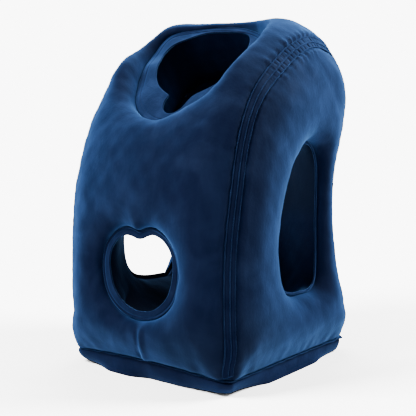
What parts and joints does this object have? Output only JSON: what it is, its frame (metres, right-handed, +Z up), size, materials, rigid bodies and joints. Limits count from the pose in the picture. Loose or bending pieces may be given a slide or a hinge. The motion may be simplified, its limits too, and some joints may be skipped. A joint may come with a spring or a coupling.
{
  "type": "inflatable travel pillow",
  "caption": "Tall air-filled travel cushion in flocked cloth, with a face opening in its sloping top, a heart-shaped front opening and an arm opening in each side.",
  "frame": {"origin": "on the table, below the middle of the pillow", "axes": "+Z up, front opening towards -Y, user's left and right along X"},
  "size_m": [0.3345, 0.3615, 0.5232],
  "materials": {
    "velvet": "flocked velvet, soft cloudy nap",
    "weld": "flocked velvet pressed flat at the welds"
  },
  "bodies": {
    "root": {"body_chamber": "velvet", "base_panel": "velvet", "face_panel": "weld", "front_rim": "weld", "arm_rim_right": "weld", "arm_rim_left": "weld", "side_seam_right": "weld", "side_seam_left": "weld", "base_seam": "weld"}
  },
  "joints": []
}
